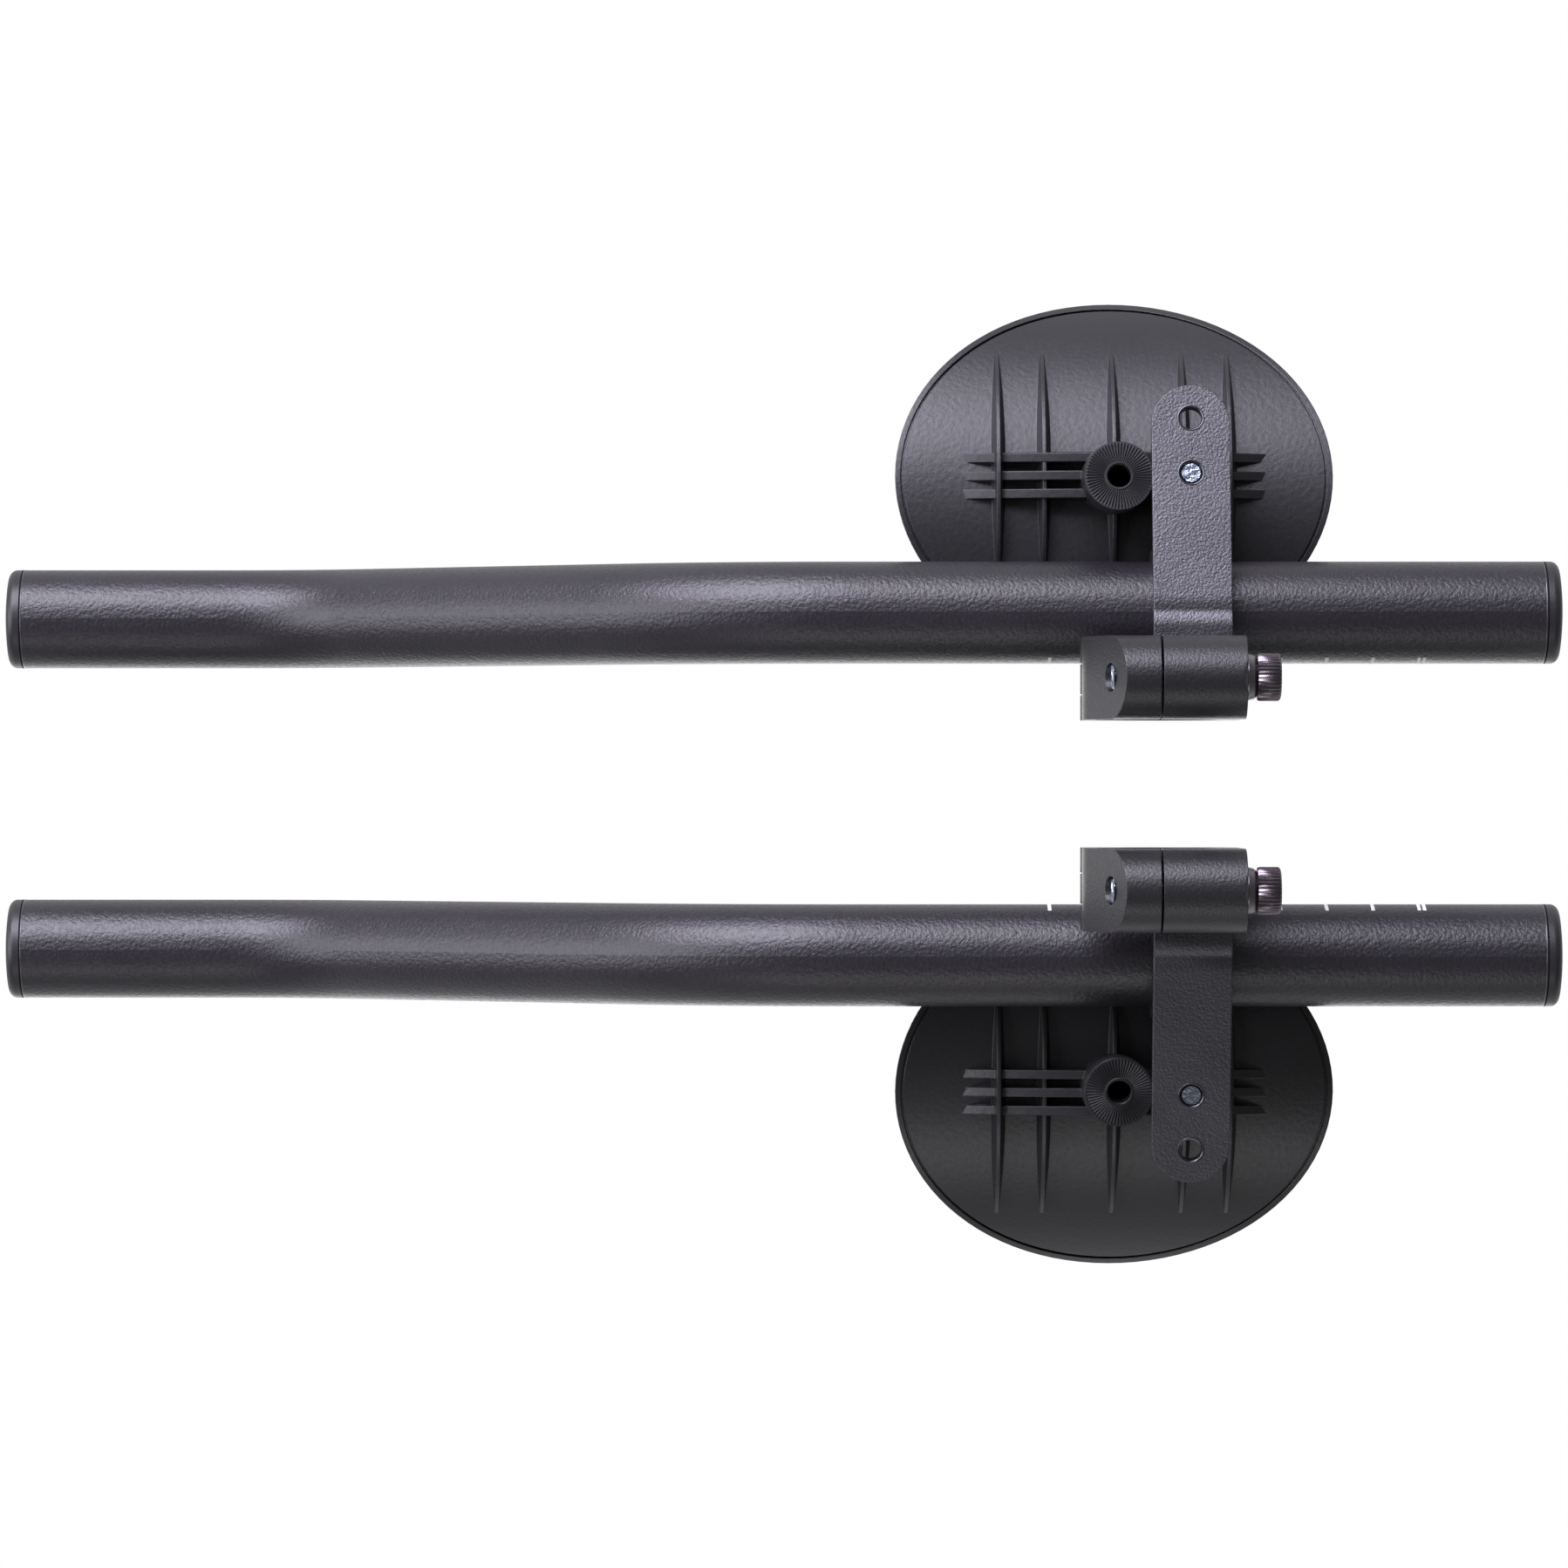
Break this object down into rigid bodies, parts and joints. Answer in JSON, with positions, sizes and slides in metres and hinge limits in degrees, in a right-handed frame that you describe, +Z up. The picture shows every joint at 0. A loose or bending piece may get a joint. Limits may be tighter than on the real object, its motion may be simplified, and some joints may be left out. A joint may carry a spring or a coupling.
{
  "type": "time trial handlebar extensions",
  "caption": "Pair of S-bend time trial extensions with end caps, hinged base bar clamps, brackets and padded forearm cups.",
  "frame": {"origin": "on the base bar's axis, midway between the two clamps, in the plane of the slits between their jaws", "axes": "+X forward along the extensions, +Y to the rider's left along the base bar, +Z up"},
  "size_m": [0.3442, 0.2144, 0.1314],
  "materials": {
    "tube_black": "satin black anodised",
    "clamp_black": "satin black anodised",
    "bracket_black": "satin dark grey",
    "cap_black": "satin",
    "cup_black": "semi-gloss moulded",
    "pad_black": "cloth-faced foam",
    "bronze_steel": "dark bronze",
    "zinc_steel": "blue zinc",
    "plain_steel": "plain"
  },
  "bodies": {
    "clamp_stack": {"left_front_jaw": "clamp_black", "left_rear_jaw": "clamp_black", "left_hinge_pin": "plain_steel", "left_pinch_bolt": "bronze_steel", "left_pinch_washer": "bronze_steel", "left_bracket": "bracket_black", "left_extension_clamp": "clamp_black", "left_stack_bolt": "bronze_steel", "left_stack_washer": "plain_steel", "left_cup_bolt": "zinc_steel", "left_cup_washer": "plain_steel", "right_front_jaw": "clamp_black", "right_rear_jaw": "clamp_black", "right_hinge_pin": "plain_steel", "right_pinch_bolt": "bronze_steel", "right_pinch_washer": "bronze_steel", "right_bracket": "bracket_black", "right_extension_clamp": "clamp_black", "right_stack_bolt": "bronze_steel", "right_stack_washer": "plain_steel", "right_cup_bolt": "zinc_steel", "right_cup_washer": "plain_steel"},
    "left_extension": {"left_extension_tube": "tube_black", "left_front_cap": "cap_black", "left_rear_cap": "cap_black"},
    "left_armrest": {"left_arm_cup": "cup_black", "left_arm_pad": "pad_black"},
    "right_extension": {"right_extension_tube": "tube_black", "right_front_cap": "cap_black", "right_rear_cap": "cap_black"},
    "right_armrest": {"right_arm_cup": "cup_black", "right_arm_pad": "pad_black"}
  },
  "joints": [
    {"name": "left_extension_slide", "type": "slide", "parent": "clamp_stack", "child": "left_extension", "axis": [1, 0, 0], "range_m": [-0.02, 0.04]},
    {"name": "left_armrest_swivel", "type": "hinge", "parent": "clamp_stack", "child": "left_armrest", "pos_m": [-0.0088, 0.06661, 0.02582], "axis": [0, -0.2164, 0.9763], "range_deg": [-8, 8]},
    {"name": "right_extension_slide", "type": "slide", "parent": "clamp_stack", "child": "right_extension", "axis": [1, 0, 0], "range_m": [-0.02, 0.04]},
    {"name": "right_armrest_swivel", "type": "hinge", "parent": "clamp_stack", "child": "right_armrest", "pos_m": [-0.0088, -0.06661, 0.02582], "axis": [0, 0.2164, 0.9763], "range_deg": [-8, 8]}
  ]
}
